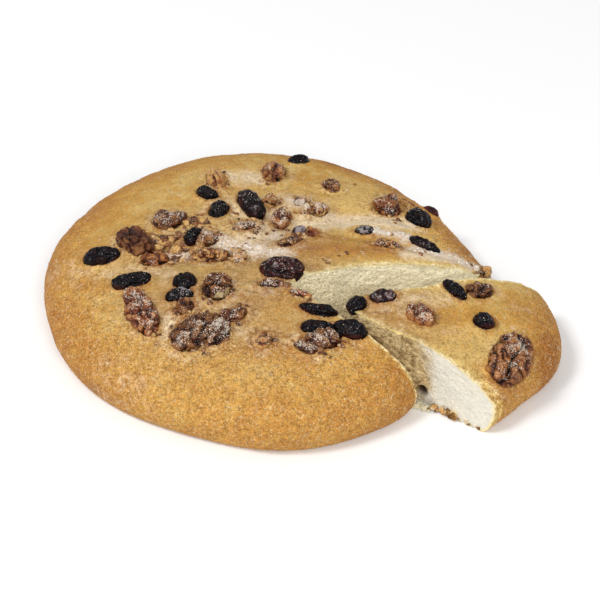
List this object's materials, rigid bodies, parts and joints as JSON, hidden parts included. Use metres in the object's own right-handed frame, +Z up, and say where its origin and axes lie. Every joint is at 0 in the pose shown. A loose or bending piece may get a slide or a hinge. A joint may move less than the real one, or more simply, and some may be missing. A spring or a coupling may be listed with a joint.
{
  "type": "raisin walnut cake",
  "caption": "Round flat loaf of sweet sugared dough with raisins and walnut pieces pressed into its top, with a wedge cut and drawn part of the way out.",
  "frame": {"origin": "on the flat underside, below the middle of the round", "axes": "+X towards the side that the slice is drawn out of, +Z up, +Y across"},
  "size_m": [0.2521, 0.222, 0.0455],
  "materials": {
    "crust": "golden baked crust with sugar grains, pale open crumb on the cut faces",
    "raisin": "shrivelled black skin with a soft sheen",
    "walnut": "toasted brown kernel skin"
  },
  "bodies": {
    "root": {"cake_round": "crust", "cake_slice": "crust", "raisin_01": "raisin", "raisin_02": "raisin", "raisin_03": "raisin", "raisin_04": "raisin", "raisin_05": "raisin", "raisin_06": "raisin", "raisin_07": "raisin", "raisin_08": "raisin", "raisin_09": "raisin", "raisin_10": "raisin", "raisin_11": "raisin", "raisin_12": "raisin", "raisin_13": "raisin", "raisin_14": "raisin", "raisin_15": "raisin", "raisin_16": "raisin", "raisin_17": "raisin", "raisin_18": "raisin", "slice_raisin_1": "raisin", "slice_raisin_2": "raisin", "slice_raisin_3": "raisin", "slice_raisin_4": "raisin", "slice_walnut_1": "walnut", "slice_walnut_2": "walnut", "slice_walnut_half": "walnut", "walnut_01": "walnut", "walnut_02": "walnut", "walnut_03": "walnut", "walnut_04": "walnut", "walnut_05": "walnut", "walnut_06": "walnut", "walnut_07": "walnut", "walnut_08": "walnut", "walnut_09": "walnut", "walnut_10": "walnut", "walnut_12": "walnut", "walnut_13": "walnut", "walnut_14": "walnut", "walnut_15": "walnut", "walnut_16": "walnut", "walnut_17": "walnut", "walnut_18": "walnut", "walnut_19": "walnut", "walnut_20": "walnut", "walnut_21": "walnut", "walnut_22": "walnut", "walnut_23": "walnut", "walnut_24": "walnut", "walnut_25": "walnut", "walnut_26": "walnut", "walnut_27": "walnut", "walnut_28": "walnut", "walnut_29": "walnut", "walnut_30": "walnut", "walnut_31": "walnut", "walnut_32": "walnut"}
  },
  "joints": []
}
